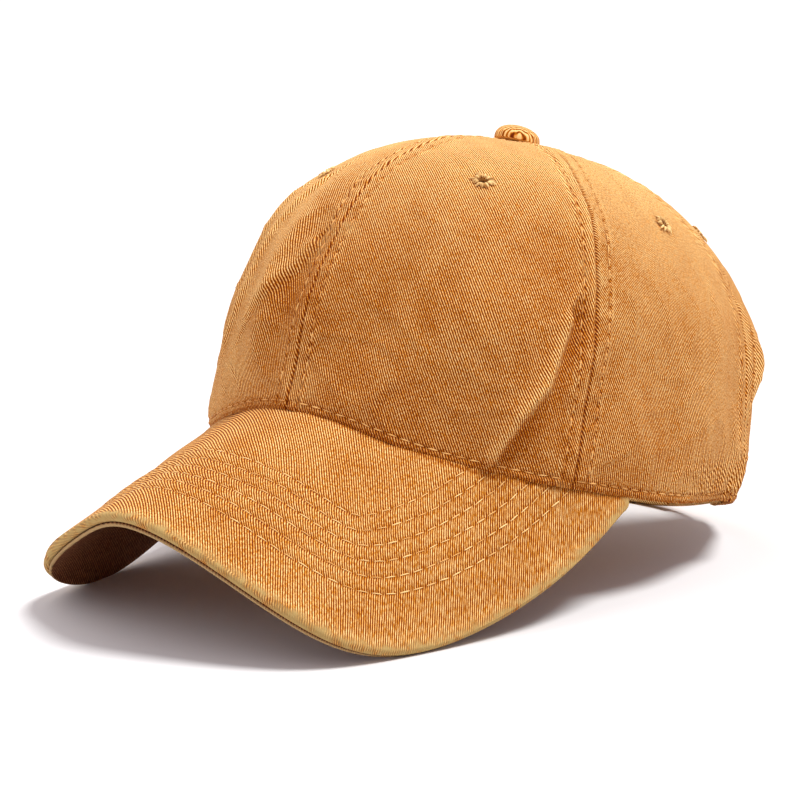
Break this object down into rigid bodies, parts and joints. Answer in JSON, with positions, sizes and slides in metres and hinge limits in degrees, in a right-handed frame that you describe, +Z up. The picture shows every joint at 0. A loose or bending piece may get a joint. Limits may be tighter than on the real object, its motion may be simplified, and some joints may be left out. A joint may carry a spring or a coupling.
{
  "type": "ponytail baseball cap",
  "caption": "Washed cotton baseball cap with a soft panelled crown, a strongly curved peak, a covered button, stitched eyelets and a tall arched opening for a ponytail above lapped straps.",
  "frame": {"origin": "middle of the bottom of the cap's box, on the surface that it stands on", "axes": "+Z up, the peak points to -Y, the wearer's left is +X"},
  "size_m": [0.171, 0.2702, 0.1442],
  "materials": {
    "crown_cloth": "washed cotton twill",
    "button_cloth": "washed cotton twill",
    "eyelet_thread": "satin stitched cotton thread",
    "peak_cloth": "washed cotton twill over a stiff board",
    "peak_under_cloth": "washed cotton twill, the unfaded lower cloth",
    "sweatband_tape": "plain woven cotton tape",
    "binding_tape": "folded cotton tape, faded along its edges",
    "strap_cloth": "cotton twill faced with hook-and-loop tape"
  },
  "bodies": {
    "root": {"front_left_panel": "crown_cloth", "front_right_panel": "crown_cloth", "side_left_panel": "crown_cloth", "side_right_panel": "crown_cloth", "back_left_panel": "crown_cloth", "back_right_panel": "crown_cloth", "top_button": "button_cloth", "eyelet_front_left": "eyelet_thread", "eyelet_front_right": "eyelet_thread", "eyelet_side_left": "eyelet_thread", "eyelet_side_right": "eyelet_thread", "eyelet_back_left": "eyelet_thread", "eyelet_back_right": "eyelet_thread", "peak_top": "peak_cloth", "peak_underside": "peak_under_cloth", "sweatband": "sweatband_tape", "opening_binding": "binding_tape", "strap_left": "strap_cloth", "strap_right": "strap_cloth"}
  },
  "joints": []
}
